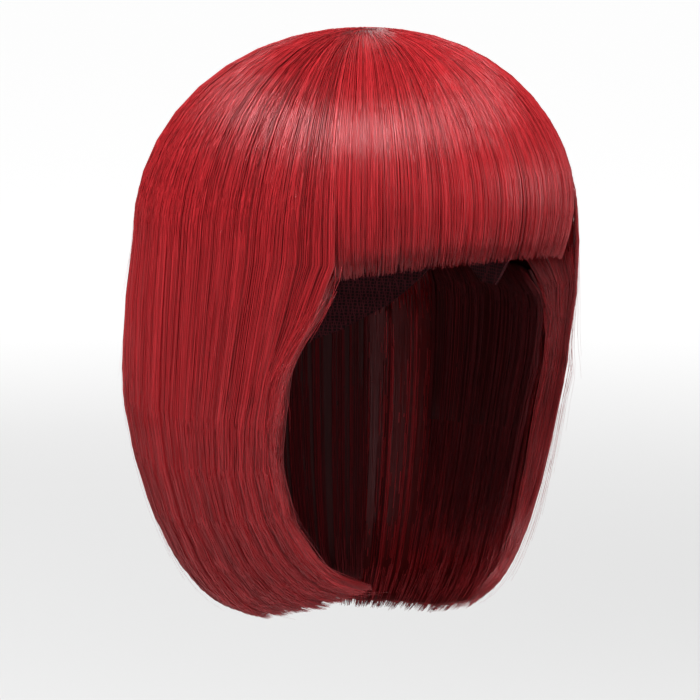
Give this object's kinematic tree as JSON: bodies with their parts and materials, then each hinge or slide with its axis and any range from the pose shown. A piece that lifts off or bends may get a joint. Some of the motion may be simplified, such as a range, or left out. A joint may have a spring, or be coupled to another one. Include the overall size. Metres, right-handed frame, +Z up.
{
  "type": "bob wig with full fringe",
  "caption": "Chin-length bob wig with a blunt full fringe and ends curled in, hair sections on an open net cap, in worn form.",
  "frame": {"origin": "the inside of the cap's crown, on its middle plane, where the top of the head seats", "axes": "+Z up as worn, the face opening towards -Y, the wearer's left towards +X"},
  "size_m": [0.2114, 0.2281, 0.3012],
  "materials": {
    "hair": "smooth deep red synthetic hair fibre with a soft sheen",
    "inner_hair": "the same fibre in the shade of the outer hair, darker red",
    "cap_net": "matte elastic net and lace in dark red"
  },
  "bodies": {
    "root": {"wig_cap": "cap_net", "crown_whorl": "hair", "fringe": "hair", "side_hair_right": "hair", "side_hair_left": "hair", "back_hair": "hair", "ear_layer_right": "inner_hair", "ear_layer_left": "inner_hair", "nape_layer": "inner_hair"}
  },
  "joints": []
}
